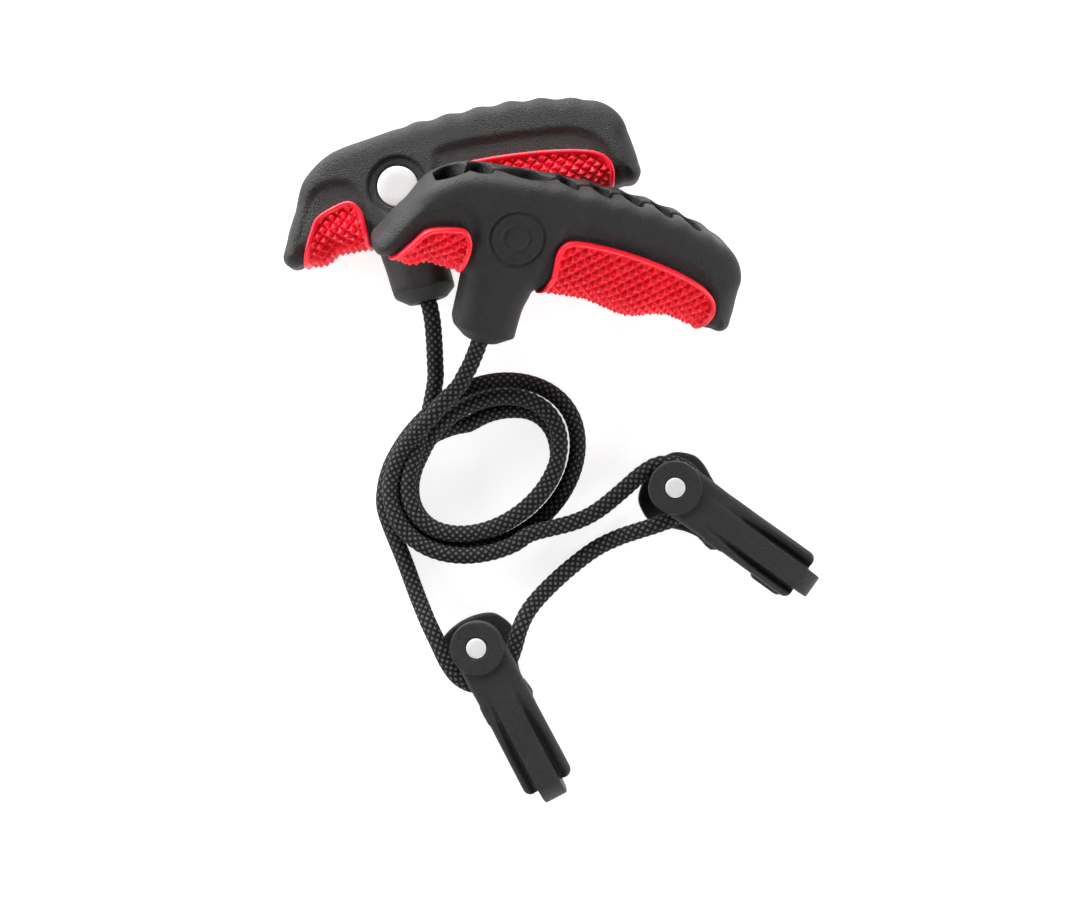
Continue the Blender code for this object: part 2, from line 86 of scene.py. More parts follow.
# Each arm narrows to a tight toe: the place and the radius where it starts, and where it ends
SHORT_TOE = ((-33.3, -8.4), 8.0, (-42.2, -17.2), 4.0)
LONG_TOE = ((77.8, -1.0), 8.2, (83.7, -9.8), 4.0)

# Outlines on the faces, in the handle's frame
LONG_PAD_FRONT = (
    (16.6, -10.0), (15.4, -1.0), (17.4, 3.8), (22.0, 5.4), (30.0, 6.2), (40.0, 6.5), (50.0, 6.0), (59.0, 5.0),
    (66.0, 3.7), (72.0, 1.8), (76.4, -1.2), (78.4, -5.5), (77.8, -10.0), (76.0, -16.0), (75.0, -30.0),
    (18.4, -30.0),
)
LONG_PAD_BACK = (
    (16.6, -10.0), (15.6, -2.4), (18.0, 2.2), (24.0, 3.7), (36.0, 3.8), (48.0, 3.1), (58.0, 2.0), (66.0, 0.6),
    (72.0, -1.2), (76.0, -4.0), (77.8, -8.5), (77.2, -13.0), (75.6, -18.0), (75.0, -30.0), (18.4, -30.0),
)
SHORT_PAD = (
    (-39.6, -21.6), (-33.8, -10.0), (-31.4, -6.2), (-27.5, -4.0), (-20.6, -2.0), (-17.0, -2.6), (-14.6, -6.0),
    (-13.9, -10.0), (-13.9, -19.8), (-13.9, -30.0), (-40.0, -30.0),
)
LONG_FIELD = (
    (14.0, -30.0), (13.0, 4.0), (18.0, 11.4), (40.0, 11.6), (62.0, 10.0), (71.0, 7.0), (77.2, 1.0),
    (80.2, -7.0), (80.6, -16.0), (81.0, -30.0),
)
SHORT_FIELD = (
    (-46.0, -24.0), (-41.0, -13.0), (-34.6, 0.0), (-29.5, 5.6), (-22.5, 7.0), (-16.0, 5.0), (-12.6, -1.0),
    (-12.0, -10.0), (-12.0, -30.0), (-44.0, -34.0),
)

# Ridge pockets: place along the bar and half length
POCKETS = ((-17.6, 4.2), (13.8, 3.8), (26.2, 3.8), (38.0, 3.8), (49.8, 3.8), (61.6, 3.7))
POCKET_HALF_WIDE = 7.8
POCKET_FLOOR = 5.0

# Rope: its size and its route outside the coil
ROPE_R = 3.1
RUN_B = (
    (-46.2, 57.7, 13.8), (-45.4, 54.6, 13.7), (-44.6, 50.5, 13.2), (-44.1, 45.5, 12.2), (-43.8, 39.5, 11.0),
    (-43.6, 33.2, 10.0), (-43.6, 27.8, 9.6),
)
RUN_A = (
    (-26.1, 43.9, 22.5), (-26.9, 41.5, 21.6), (-28.4, 37.6, 19.8), (-30.8, 32.2, 18.0), (-33.0, 28.4, 17.1),
    (-34.8, 25.2, 16.7),
)
RUN_HOOKS = (
    (7.4, -24.6, 8.2), (16.4, -20.2, 7.6), (25.1, -13.2, 7.8), (32.4, -6.8, 8.6), (38.8, -3.2, 9.0),
    (45.7, -3.3, 9.0), (51.0, -6.8, 9.0), (53.2, -12.6, 9.0), (50.7, -18.6, 9.0), (44.8, -22.8, 9.0),
    (37.8, -25.6, 8.8), (30.9, -27.9, 6.8), (23.6, -30.6, 4.0), (15.0, -35.0, 3.2), (4.2, -43.4, 3.2),
    (-4.8, -52.0, 4.2), (-9.8, -58.2, 7.0), (-12.6, -64.2, 8.9), (-14.6, -71.2, 9.0), (-17.4, -78.0, 9.0),
    (-22.1, -83.0, 9.0), (-28.9, -84.6, 9.0), (-34.9, -81.9, 9.0), (-39.2, -76.3, 9.0), (-42.6, -69.2, 8.9),
    (-46.1, -62.2, 7.4), (-49.4, -55.0, 4.4), (-52.4, -47.4, 3.2), (-55.4, -39.2, 3.2),
)
# The coil's inner ring is an ellipse: its centre, its long axis's turn, its half axes, and the pitch outward
COIL_AT = (-25.75, -3.5)
COIL_TURN = 35.8
COIL_RING = (30.7, 22.0)
COIL_PITCH = 7.2
# Stations of the winding: angle round the coil, rope widths outside the inner ring, height. B's end first.
WINDING = (
    (136, 0.8, 9.4), (150, 0.4, 9.4), (170, 0.08, 9.3), (180, 0.0, 9.3), (490, 0.0, 9.3), (510, -0.1, 8.0),
    (530, -0.2, 5.0), (550, -0.15, 3.1), (590, 0.06, 3.1), (720, 0.06, 3.1), (750, -0.3, 3.1),
    (785, -0.68, 3.1), (830, -0.85, 3.1), (862, -0.3, 3.1), (900, 0.6, 3.1), (950, 0.85, 3.1),
    (1010, 0.92, 3.1), (1050, 0.95, 3.1), (1110, 0.95, 3.1), (1140, 0.88, 3.1), (1195, 0.87, 3.1),
    (1220, 0.8, 3.1), (1235, 0.84, 3.1), (1250, 0.94, 3.1), (1266, 1.14, 3.1), (1286, 1.44, 3.1),
)
# The stretch on top of it, between handle A's end and the hooks, in the same form
TOP_TURN = (
    (305, 1.2, 9.3), (290, 1.22, 9.3), (250, 1.1, 9.3), (195, 0.9, 9.3), (180, 0.8, 9.5), (165, 0.66, 10.6),
    (150, 0.56, 12.8), (138, 0.5, 15.2), (124, 0.72, 16.4),
)


# ---------------------------------------------------------------- numbers and curves

def arc(centre_x, centre_y, radius, start, end, steps):
    turns = np.radians(np.linspace(start, end, steps + 1))
    return [(centre_x + radius * math.cos(t), centre_y + radius * math.sin(t)) for t in turns]


def through(points, steps, closed=False):
    """Catmull-Rom curve through points, steps to each span."""
    p = np.array(points, float)
    if closed:
        p = np.vstack([p[-1], p, p[:2]])
    else:
        p = np.vstack([2 * p[0] - p[1], p, 2 * p[-1] - p[-2]])
    t = np.arange(steps)[:, None] / steps
    spans = []
    for a, b, c, d in zip(p, p[1:], p[2:], p[3:]):
        square, cube = 2 * a - 5 * b + 4 * c - d, 3 * b - a - 3 * c + d
        spans.append(0.5 * (2 * b + (c - a) * t + square * t ** 2 + cube * t ** 3))
    curve = np.vstack(spans)
    return curve if closed else np.vstack([curve, p[-2]])


def spaced(points, gap):
    """The same line with points at an even spacing."""
    steps = np.linalg.norm(np.diff(points, axis=0), axis=1)
    along = np.concatenate([[0.0], np.cumsum(steps)])
    at = np.linspace(0.0, along[-1], int(round(along[-1] / gap)) + 1)
    return np.column_stack([np.interp(at, along, points[:, i]) for i in range(3)])


def smooth_outline(points):
    return through(points, 4, closed=True)


def smoothstep(low, high, x):
    t = np.clip((x - low) / (high - low), 0.0, 1.0)
    return t * t * (3.0 - 2.0 * t)


def fold(x):
    """0 at each whole number, 1 half way between."""
    return 2.0 * np.abs(x - np.round(x))


# ---------------------------------------------------------------- signed distances

def polygon(x, y, outline):
    """Signed distance to a closed outline, in the plane."""
    p = np.array(outline, float)
    q = np.roll(p, -1, axis=0)
    best = np.full(np.broadcast(x, y).shape, 1e9)
    inside = np.zeros(best.shape, bool)
    for (ax, ay), (bx, by) in zip(p, q):
        ex, ey = bx - ax, by - ay
        t = np.clip(((x - ax) * ex + (y - ay) * ey) / max(ex * ex + ey * ey, 1e-12), 0.0, 1.0)
        best = np.minimum(best, (x - ax - t * ex) ** 2 + (y - ay - t * ey) ** 2)
        if ey:
            inside ^= ((ay > y) != (by > y)) & (x < ax + (y - ay) * ex / ey)
    return np.where(inside, -1.0, 1.0) * np.sqrt(best)


def both(a, b, blend=0.0):
    """Where both shapes are: the larger distance, with a rounded edge."""
    if not blend:
        return np.maximum(a, b)
    h = np.maximum(blend - np.abs(a - b), 0.0) / blend
    return np.maximum(a, b) + h * h * blend / 4.0


def either(a, b, blend=0.0):
    return -both(-a, -b, blend)


def slab(distance, z, low, high, edge):
    """A flat outline from low to high, with rounded edges."""
    mid, half = (low + high) / 2.0, (high - low) / 2.0
    dz = np.abs(z - mid) - half
    a, b = distance + edge, dz + edge
    return np.minimum(np.maximum(a, b), 0.0) + np.hypot(np.maximum(a, 0.0), np.maximum(b, 0.0)) - edge


def grid(low, high, step):
    axes = [np.arange(a, b + step, step) for a, b in zip(low, high)]
    return axes, np.meshgrid(*axes, indexing="ij", sparse=True)


def skin(field, low, step):
    """Surface nets: a point in each cell that the surface crosses, and a quad for each grid edge crossed."""
    inside = field < 0.0
    shape = np.array(field.shape) - 1
    corner = [(i, j, k) for i in (0, 1) for j in (0, 1) for k in (0, 1)]
    count = sum(
        inside[i:i + shape[0], j:j + shape[1], k:k + shape[2]].astype(np.int8) for i, j, k in corner
    )
    cells = np.argwhere((count > 0) & (count < 8))
    index = np.full(shape, -1)
    index[tuple(cells.T)] = np.arange(len(cells))
    total = np.zeros((len(cells), 3))
    hits = np.zeros(len(cells))
    for axis in range(3):
        ahead = np.eye(3, dtype=int)[axis]
        for start in corner:
            if start[axis]:
                continue
            a = field[tuple((cells + start).T)]
            b = field[tuple((cells + start + ahead).T)]
            cross = (a < 0.0) != (b < 0.0)
            t = np.where(cross, a / np.where(cross, a - b, 1.0), 0.0)
            total += np.where(cross[:, None], np.array(start) + t[:, None] * ahead, 0.0)
            hits += cross
    points = np.array(low) + (cells + total / hits[:, None]) * step
    quads = []
    for axis in range(3):
        second, third = (axis + 1) % 3, (axis + 2) % 3
        ahead, u, v = np.eye(3, dtype=int)[[axis, second, third]]
        size = shape + 1 - ahead
        here = inside[:size[0], :size[1], :size[2]]
        there = inside[ahead[0]:, ahead[1]:, ahead[2]:]
        edges = np.argwhere(here != there)
        keep = (edges[:, second] > 0) & (edges[:, third] > 0)
        keep &= (edges[:, second] < shape[second]) & (edges[:, third] < shape[third])
        edges = edges[keep]
        ring = [index[tuple((edges - a * u - b * v).T)] for a, b in ((1, 1), (0, 1), (0, 0), (1, 0))]
        ring = np.column_stack(ring)
        out = inside[tuple(edges.T)]
        quads.append(np.where(out[:, None], ring, ring[:, ::-1]))
    return points, np.vstack(quads)


# ---------------------------------------------------------------- objects

def mesh_object(name, points, faces, smooth=True):
    """An object of points in metres and faces of equal size, made from arrays."""
    mesh = bpy.data.meshes.new(name)
    faces = np.asarray(faces, np.int32)
    sides = faces.shape[1]
    mesh.vertices.add(len(points))
    mesh.vertices.foreach_set("co", np.asarray(points, np.float32).ravel())
    mesh.loops.add(faces.size)
    mesh.loops.foreach_set("vertex_index", faces.ravel())
    mesh.polygons.add(len(faces))
    mesh.polygons.foreach_set("loop_start", np.arange(0, faces.size, sides, dtype=np.int32))
    mesh.update(calc_edges=True)
    mesh.validate()
    if smooth:
        mesh.shade_smooth()
    obj = bpy.data.objects.new(name, mesh)
    bpy.context.scene.collection.objects.link(obj)
    return obj


def placed(points, matrix):
    """Points of a piece's own frame, in millimetres, as points of the shared frame, in metres."""
    m = np.array(matrix)
    return (points * MM) @ m[:3, :3].T + m[:3, 3]


def frame_at(place, turn, pitch=0.0, roll=0.0):
    move = Matrix.Translation((np.array(place) + LAYOUT_AT) * MM)
    spin = Matrix.Rotation(math.radians(turn), 4, "Z")
    tip = Matrix.Rotation(math.radians(pitch), 4, "Y")
    return move @ spin @ tip @ Matrix.Rotation(math.radians(roll), 4, "X")


def finished(obj, material, slot, body, *nodes):
    """Gives a piece its material, the body it rides on and the CAD nodes it stands for. The slot is not used.
    """
    obj.data.materials.append(material)
    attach(obj, body)
    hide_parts(*nodes)


# ---------------------------------------------------------------- materials

class Nodes:
    """A short way to write a material's nodes."""

    def __init__(self, name):
        self.material = bpy.data.materials.new(name)
        self.material.use_nodes = True
        self.tree = self.material.node_tree
        self.shader = self.tree.nodes["Principled BSDF"]

    def add(self, kind, inputs=None, **settings):
        made = self.tree.nodes.new("ShaderNode" + kind)
        for key, value in settings.items():
            setattr(made, key, value)
        for key, value in (inputs or {}).items():
            self.put(made.inputs[key], value)
        return made

    def put(self, socket, value):
        if isinstance(value, bpy.types.NodeSocket):
            self.tree.links.new(value, socket)
        else:
            socket.default_value = value

    def math(self, operation, a, b=0.0):
        made = self.add("Math", operation=operation)
        self.put(made.inputs[0], a)
        self.put(made.inputs[1], b)
        return made.outputs[0]

    def coords(self):
        return self.add("TexCoord").outputs["Object"]

    def noise(self, scale, detail=2.0, rough=0.5, vector=None):
        made = self.add("TexNoise", {"Scale": scale, "Detail": detail, "Roughness": rough})
        self.put(made.inputs["Vector"], vector or self.coords())
        return made.outputs["Fac"]

    def ramp(self, value, *stops):
        made = self.add("ValToRGB")
        band = made.color_ramp
        while len(band.elements) < len(stops):
            band.elements.new(0.5)
        for element, (at, colour) in zip(band.elements, stops):
            element.position = at
            element.color = (*colour, 1.0)
        self.put(made.inputs[0], value)
        return made.outputs["Color"]

    def bump(self, height, strength, distance):
        made = self.add("Bump", {"Strength": strength, "Distance": distance, "Height": height})
        self.put(self.shader.inputs["Normal"], made.outputs[0])

    def set(self, **values):
        for key, value in values.items():
            self.put(self.shader.inputs[key.replace("_", " ")], value)
        return self.material


def grained_plastic(name, colour, scale, rough, depth):
    n = Nodes(name)
    pebble = n.add("TexVoronoi", {"Scale": scale}, feature="SMOOTH_F1")
    n.put(pebble.inputs["Vector"], n.coords())
    fine = n.noise(scale * 1.9, 3.0, 0.6)
    pits = n.math("MULTIPLY", pebble.outputs["Distance"], -0.7)
    n.bump(n.math("ADD", pits, n.math("MULTIPLY", fine, 0.5)), 1.0, depth)
    cloud = n.math("ADD", n.math("MULTIPLY", n.noise(60.0, 3.0, 0.5), 0.35), n.math("MULTIPLY", fine, 0.65))
    dark = tuple(c * 0.5 for c in colour)
    light = tuple(c * 1.7 for c in colour)
    n.set(Base_Color=n.ramp(cloud, (0.38, dark), (0.62, light)))
    n.shader.inputs["Specular IOR Level"].default_value = 0.34
    low, high = (rough - 0.06,) * 3, (rough + 0.08,) * 3
    return n.set(Roughness=n.ramp(fine, (0.3, low), (0.7, high)))


def red_rubber():
    n = Nodes("grip_rubber")
    fine = n.noise(5200.0, 3.0, 0.6)
    cloud = n.noise(90.0, 2.0, 0.5)
    n.set(Base_Color=n.ramp(cloud, (0.3, (0.78, 0.003, 0.018)), (0.7, (0.88, 0.004, 0.023))))
    n.set(Roughness=n.ramp(fine, (0.3, (0.34,) * 3), (0.7, (0.46,) * 3)))
    n.bump(fine, 0.35, 0.00004)
    return n.material


def speckled_steel(name):
    n = Nodes(name)
    fleck = n.noise(2600.0, 2.0, 0.7)
    light = 0.68
    n.set(Base_Color=n.ramp(fleck, (0.3, (light * 0.86,) * 3), (0.6, (light,) * 3)))
    n.set(Roughness=n.ramp(fleck, (0.35, (0.5,) * 3), (0.7, (0.34,) * 3)))
    n.bump(fleck, 0.3, 0.00005)
    n.shader.inputs["Metallic"].default_value = 0.35
    return n.material


def braid_material():
    """A dark sheath with painted highlights on the strand crests and painted shade in the gaps between
    strands, in a lattice from the rope's UVs: strands round, stitches along.
    """
    n = Nodes("rope_braid")
    uv = n.add("UVMap", uv_map="braid").outputs[0]
    parts = n.add("SeparateXYZ")
    n.put(parts.inputs[0], uv)
    across, along = parts.outputs[0], parts.outputs[1]
    a = n.math("PINGPONG", n.math("ADD", across, along), 1.0)
    b = n.math("PINGPONG", n.math("SUBTRACT", across, along), 1.0)
    fleck = n.math("MINIMUM", a, b)
    weave = n.noise(2.2, 4.0, 0.7, n.add("Mapping", {"Scale": (6.0, 3.0, 1.0), "Vector": uv}).outputs[0])
    edge = n.math("ADD", fleck, n.math("MULTIPLY", n.math("SUBTRACT", weave, 0.5), 0.5))
    # The ramp paints the gaps between strands near black as painted shade and the strand crests lighter as
    # painted highlight, over the sheath's own dark colour.
    dark, mid, light = (0.0015, 0.0015, 0.0015), (0.0045, 0.0045, 0.0047), (0.044, 0.044, 0.045)
    n.set(Base_Color=n.ramp(edge, (0.0, dark), (0.34, mid), (0.5, light), (1.0, (0.085, 0.085, 0.087))))
    n.set(Roughness=n.ramp(weave, (0.3, (0.9,) * 3), (0.7, (0.78,) * 3)))
    n.bump(weave, 0.5, 0.00015)
    n.shader.inputs["Specular IOR Level"].default_value = 0.2
    return n.material


BLACK = grained_plastic("handle_plastic", (0.004, 0.004, 0.0042), 2300.0, 0.5, 0.0004)
HOOK_BLACK = grained_plastic("hook_plastic", (0.0055, 0.0055, 0.0058), 2500.0, 0.5, 0.0003)
RED = red_rubber()
MAGNET = speckled_steel("magnet_steel")
STEEL = speckled_steel("pin_steel")
BRAID = braid_material()


# ---------------------------------------------------------------- rope

def ring_point(angle, out, height):
    """A point of the winding: angle in degrees, and how many rope widths outside the inner ring."""
    t = math.radians(angle - COIL_TURN)
    a, b = (half + out * COIL_PITCH for half in COIL_RING)
    r = a * b / math.hypot(b * math.cos(t), a * math.sin(t))
    turn = math.radians(angle)
    return (COIL_AT[0] + r * math.cos(turn), COIL_AT[1] + r * math.sin(turn), height)


def winding(stations, step=12.0):
    angles, outs, heights = np.array(stations, float).T
    count = int(round(abs(angles[-1] - angles[0]) / step)) + 1
    at = np.linspace(angles[0], angles[-1], count)
    order = np.argsort(angles)
    out = np.interp(at, angles[order], outs[order])
    height = np.interp(at, angles[order], heights[order])
    return [ring_point(*station) for station in zip(at, out, height)]


def rope_line():
    """The rope's centre line from handle A's mouth to handle B's, in the shared frame, in metres."""
    route = [*RUN_A, *winding(TOP_TURN[::-1]), *RUN_HOOKS, *winding(WINDING[::-1]), *RUN_B[::-1]]
    line = spaced(through(route, 8), 0.4)
    kernel = np.hanning(15)
    kernel /= kernel.sum()
    padded = np.vstack([np.repeat(line[:1], 7, 0), line, np.repeat(line[-1:], 7, 0)])
    smooth = np.column_stack([np.convolve(padded[:, i], kernel, "valid") for i in range(3)])
    smooth[0], smooth[-1] = line[0], line[-1]
    return (smooth + LAYOUT_AT) * MM


# The braid: a stitch's length, how far its flecks stand up, and its strands. A knot's rope is drawn thinner.
STITCH = 1.39
RELIEF = 0.2
STRANDS = 14
KNOT_STRANDS = 10
KNOT_ROPE_R = 2.1
KNOT_SIZE = 0.86
# How far in from the stem's end the tail starts and ends, and the knot's middle lies
TAIL_FROM = 4.6
TAIL_TO = 48.5
KNOT_AT = 53.5


def braid_tube(name, line, radius, strands):
    """A braided tube along a line in metres, with UVs that count its strands and stitches, and its length."""
    sides = 4 * strands
    tangent = np.gradient(line, axis=0)
    tangent /= np.linalg.norm(tangent, axis=1)[:, None]
    side = np.cross(tangent[0], (0.0, 0.0, 1.0))
    across_way = []
    for t in tangent:
        side = side - t * side.dot(t)
        side = side / np.linalg.norm(side)
        across_way.append(side)
    across_way = np.array(across_way)
    up_way = np.cross(tangent, across_way)
    steps = np.linalg.norm(np.diff(line, axis=0), axis=1)
    along = np.concatenate([[0.0], np.cumsum(steps)]) / MM / STITCH
    across = np.arange(sides) * strands / sides
    fleck = np.minimum(fold((across + along[:, None]) / 2.0), fold((across - along[:, None]) / 2.0))
    height = (radius - RELIEF + 1.25 * RELIEF * smoothstep(0.05, 0.75, fleck)) * MM
    turn = 2 * math.pi * np.arange(sides) / sides
    spoke = across_way[:, None] * np.cos(turn)[:, None] + up_way[:, None] * np.sin(turn)[:, None]
    points = (line[:, None] + spoke * height[..., None]).reshape(-1, 3)
    rows = len(line)
    i, j = np.meshgrid(np.arange(rows - 1), np.arange(sides), indexing="ij")
    k = (j + 1) % sides
    here, ahead = i * sides, (i + 1) * sides
    quads = np.stack([here + k, ahead + k, ahead + j, here + j], -1).reshape(-1, 4)
    # Each end is drawn in to a small hole, so that the tube shows no open edge
    caps = []
    for row, toward in ((0, -tangent[0]), (rows - 1, tangent[-1])):
        ring = points[row * sides:(row + 1) * sides]
        caps.append(line[row] + (ring - line[row]) * 0.06 + toward * 0.3 * MM)
    first = len(points)
    points = np.vstack([points, *caps])
    j = np.arange(sides)
    k = (j + 1) % sides
    last = (rows - 1) * sides
    start = np.stack([first + k, k, j, first + j], -1)
    end = np.stack([last + k, first + sides + k, first + sides + j, last + j], -1)
    quads = np.vstack([quads, start, end])
    along = np.concatenate([along, along[:1], along[-1:]])
    tube = mesh_object(name, points, quads)
    uv = tube.data.uv_layers.new(name="braid")
    at = np.empty(len(tube.data.loops), np.int32)
    tube.data.loops.foreach_get("vertex_index", at)
    ring, spot = at // sides, at % sides
    corners = spot.reshape(-1, 4)
    wrapped = (corners.max(axis=1) == sides - 1) & (corners.min(axis=1) == 0)
    turn_u = np.where(np.repeat(wrapped, 4) & (spot == 0), strands, across[spot])
    uv.data.foreach_set("uv", np.column_stack([turn_u, along[ring]]).astype(np.float32).ravel())
    return tube, steps.sum()


def make_rope():
    line = rope_line()
    rope, length = braid_tube("rope", line, ROPE_R, STRANDS)
    finished(rope, BRAID, "rope_braid", "rope", "rope_coil", "rope_run_a", "rope_run_b", "rope_run_hooks")


def make_rope_end(tag, matrix):
    """The rope's tail in the handle's bore, and the knot in the chamber that holds it."""
    mouth = np.array((*STEM_END, 0.0))
    inward = -np.array((*STEM_OUT, 0.0))
    tail_line = np.array([mouth + inward * t for t in np.arange(TAIL_FROM, TAIL_TO, 0.4)])
    tail, _ = braid_tube(f"tail{tag}", placed(tail_line, matrix), ROPE_R, STRANDS)
    finished(tail, BRAID, "rope_braid", f"handle{tag}", f"rope_tail{tag}")
    centre = mouth + inward * KNOT_AT
    t = np.linspace(0.0, 2 * math.pi, 121)
    out, up = np.sin(t) + 2 * np.sin(2 * t), np.cos(t) - 2 * np.cos(2 * t)
    loop = np.column_stack([out, up, -1.2 * np.sin(3 * t)])
    knot, _ = braid_tube(f"knot{tag}", placed(centre + KNOT_SIZE * loop, matrix), KNOT_ROPE_R, KNOT_STRANDS)
    finished(knot, BRAID, "rope_braid", f"handle{tag}", f"rope_knot{tag}")


# ---------------------------------------------------------------- handle

STEP = 0.45
PAD_STEP = 0.22
OUTLINE = smooth_outline(
    arc(*SHORT_ARM_TIP, 280, 150, 4) + list(RIDGE_CORE) + arc(*LONG_ARM_END, 75, 0, 4)
    + arc(*LONG_ARM_HEEL, 0, -100, 3) + list(GRIP_CORE) + arc(*RIGHT_CORNER, 90, 180, 6) + list(STEM_CORE)
    + arc(*LEFT_CORNER, 0, 90, 6) + list(SHORT_ARM_CORE)
)
# A pad's knurling, the bead round it, its depth, and the room that the body leaves under it
KNURL = 4.25
KNURL_HIGH = 1.8
BEAD = 1.7
PAD_DEEP = 2.4
PAD_ROOM = 1.1
# How far the faces sink round the pads
FIELD_DEEP = 1.25


def toe_of(u, v, start, start_r, end, end_r):
    """Distance to a round-ended wedge between two circles."""
    du, dv = end[0] - start[0], end[1] - start[1]
    length = math.hypot(du, dv)
    du, dv = du / length, dv / length
    along = (u - start[0]) * du + (v - start[1]) * dv
    off = np.abs((u - start[0]) * dv - (v - start[1]) * du)
    lean = (start_r - end_r) / length
    t = np.clip((along - off * lean / math.sqrt(1.0 - lean * lean)) / length, 0.0, 1.0)
    return np.hypot(along - t * length, off) - (start_r + (end_r - start_r) * t)


def core_of(u, v):
    """Distance to the handle's core outline, with the toes of its arms and the shallow waves of the ridge."""
    core = polygon(u, v, OUTLINE)
    for toe in (SHORT_TOE, LONG_TOE):
        core = either(core, toe_of(u, v, *toe) + EDGE_R, 1.5)
    wave = 0.42 * np.cos(2 * math.pi * (u - 10.6) / 11.5)
    wave = wave * smoothstep(6.0, 13.0, v) * smoothstep(0.0, 10.0, u) * (1.0 - smoothstep(68.0, 76.0, u))
    return core - wave


def form_of(core, v, w, sunk=0.0):
    """Distance to the handle's form about its core: round underneath, a little squarer at the ridge."""
    rise = np.maximum(np.abs(w) + sunk - (HALF_THICK - EDGE_R), 0.0)
    power = 2.0 + 1.3 * smoothstep(0.0, 9.0, v)
    outside = np.maximum(core, 0.0)
    return (outside ** power + rise ** power) ** (1.0 / power) - EDGE_R


def sunk_fields(u, v):
    """How far the faces sink round the pads."""
    long_edge = -polygon(u, v, smooth_outline(LONG_FIELD))
    short_edge = -polygon(u, v, smooth_outline(SHORT_FIELD))
    long_field = smoothstep(-0.4, 3.2, long_edge) * smoothstep(2.0, 26.0, u)
    short_field = smoothstep(-0.4, 2.8, short_edge) * smoothstep(-30.0, -12.0, v)
    return FIELD_DEEP * np.maximum(long_field, short_field)


def stadium(u, w, centre, half_long, half_wide):
    r = min(half_long, half_wide)
    du = np.maximum(np.abs(u - centre) - (half_long - r), 0.0)
    return np.hypot(du, np.maximum(np.abs(w) - (half_wide - r), 0.0)) - r


def ridge_cuts(u, v, w):
    """Pockets moulded into the ridge, the slit that joins them, and the chamber of the rope's knot."""
    pockets = np.full(np.broadcast(u, w).shape, 1e9)
    for centre, half_long in POCKETS:
        pockets = np.minimum(pockets, stadium(u, w, centre, half_long, POCKET_HALF_WIDE))
    end_pocket = both(stadium(u, w, -27.2, 5.4, 8.0), -32.2 - u, 0.8)
    pockets = both(np.minimum(pockets, end_pocket), POCKET_FLOOR - v)
    lens = np.abs(w) - 7.2 * (1.0 - ((u + 1.0) / 10.6) ** 2)
    chamber = both(lens * 0.8, 4.0 - v)
    slit = both(both(np.abs(w) - 1.5, both(-27.0 - u, u - 63.4)), 15.0 - v)
    return either(either(pockets, chamber, 0.8), slit, 1.2)


def pad_window(u, v, w, front, back):
    """Distance to a pad's outline, which changes from one face to the other."""
    window = polygon(u, v, smooth_outline(front))
    if back is front:
        return window
    to_front = smoothstep(-6.0, 6.0, w)
    return window * to_front + polygon(u, v, smooth_outline(back)) * (1.0 - to_front)


def body_field(u, v, w):
    core = core_of(u, v)
    body = form_of(core, v, w, sunk_fields(u, v))
    # Room under the pads, which follow the form without the sunk fields
    form = form_of(core, v, w)
    for front, back in ((LONG_PAD_FRONT, LONG_PAD_BACK), (SHORT_PAD, SHORT_PAD)):
        body = both(body, -both(pad_window(u, v, w, front, back) + PAD_ROOM, -PAD_ROOM - form))
    # The stem's end: flat, with a wide chamfer all round, and the flared mouth of the bore
    du, dv = u - STEM_END[0], v - STEM_END[1]
    inward = -(du * STEM_OUT[0] + dv * STEM_OUT[1])
    off_axis = np.hypot(du * STEM_OUT[1] - dv * STEM_OUT[0], w)
    chamfer = np.where(inward < 7.0, (off_axis - 4.9 - 1.3 * inward) / 1.64, -5.0)
    stem_end = both(STEM_TRIM - inward, chamfer, 0.4)
    body = both(body, stem_end, 0.35)
    bore = both(off_axis - BORE_R, inward - BORE_DEEP)
    mouth = (off_axis - MOUTH_R + MOUTH_FLARE * inward) / 1.18
    body = both(body, -either(bore, both(mouth, inward - MOUTH_DEEP), 0.4), 0.4)
    body = both(body, -ridge_cuts(u, v, w), 0.7)
    # The magnet's seat and dish on one face, plain engraved rings on the other
    r = np.hypot(u, v)
    depth = w + HALF_THICK
    seat = both(r - MAGNET_R - 0.3, depth - 4.2)
    dish = both(r - DISH_R, depth - DISH_DEEP, 0.3)
    body = both(body, -dish, 0.9)
    body = both(body, -seat, 0.3)
    face = HALF_THICK - w
    rings = np.minimum(np.abs(r - 9.6) - 0.5, np.abs(r - 4.6) - 0.7)
    plate = np.minimum(rings, r - 8.3)
    engraved = both(rings, face - 0.6)
    plate = both(plate, face - 0.3)
    return both(both(body, -engraved, 0.15), -plate, 0.15)


def pad_field(u, v, w, front, back):
    """A grip pad: a raised bead round a knurled field, wrapped round the underside of an arm."""
    core = core_of(u, v)
    window = pad_window(u, v, w, front, back)
    form = form_of(core, v, w)
    outside = np.maximum(core, 0.0)
    side = np.maximum(np.abs(w) - (HALF_THICK - EDGE_R), 0.0)
    turn = np.where(outside + side > 0.0, np.arctan2(outside, side + 1e-9), 0.0)
    girth = v + outside - (EDGE_R + PAD_PROUD) * turn
    girth = np.where((side <= 0.0) & (outside > 0.0), girth - (HALF_THICK - EDGE_R - np.abs(w)), girth)
    pyramid = np.minimum(fold((u + girth) / KNURL), fold((u - girth) / KNURL))
    field = -0.5 + KNURL_HIGH * pyramid
    crown = 1.0 - np.clip((window + BEAD / 2) / (BEAD / 2), -1.0, 1.0) ** 2
    bead = 0.55 + 0.8 * np.sqrt(np.maximum(crown, 0.0))
    inner = smoothstep(0.0, 0.5, -window - BEAD)
    height = bead * (1.0 - inner) + field * inner
    layer = both(form - height, -form - PAD_DEEP)
    return both(layer, window, 0.4)


def make_from_field(name, field, low, high, step, matrix, flip):
    """The surface of a distance function between two corners. A flipped one is its mirror image in Z."""
    axes, (x, y, z) = grid(low, high, step)
    points, quads = skin(field(x, y, z), [a[0] for a in axes], step)
    if flip:
        points, quads = points * (1, 1, -1), quads[:, ::-1]
    return mesh_object(name, placed(points, matrix), quads)


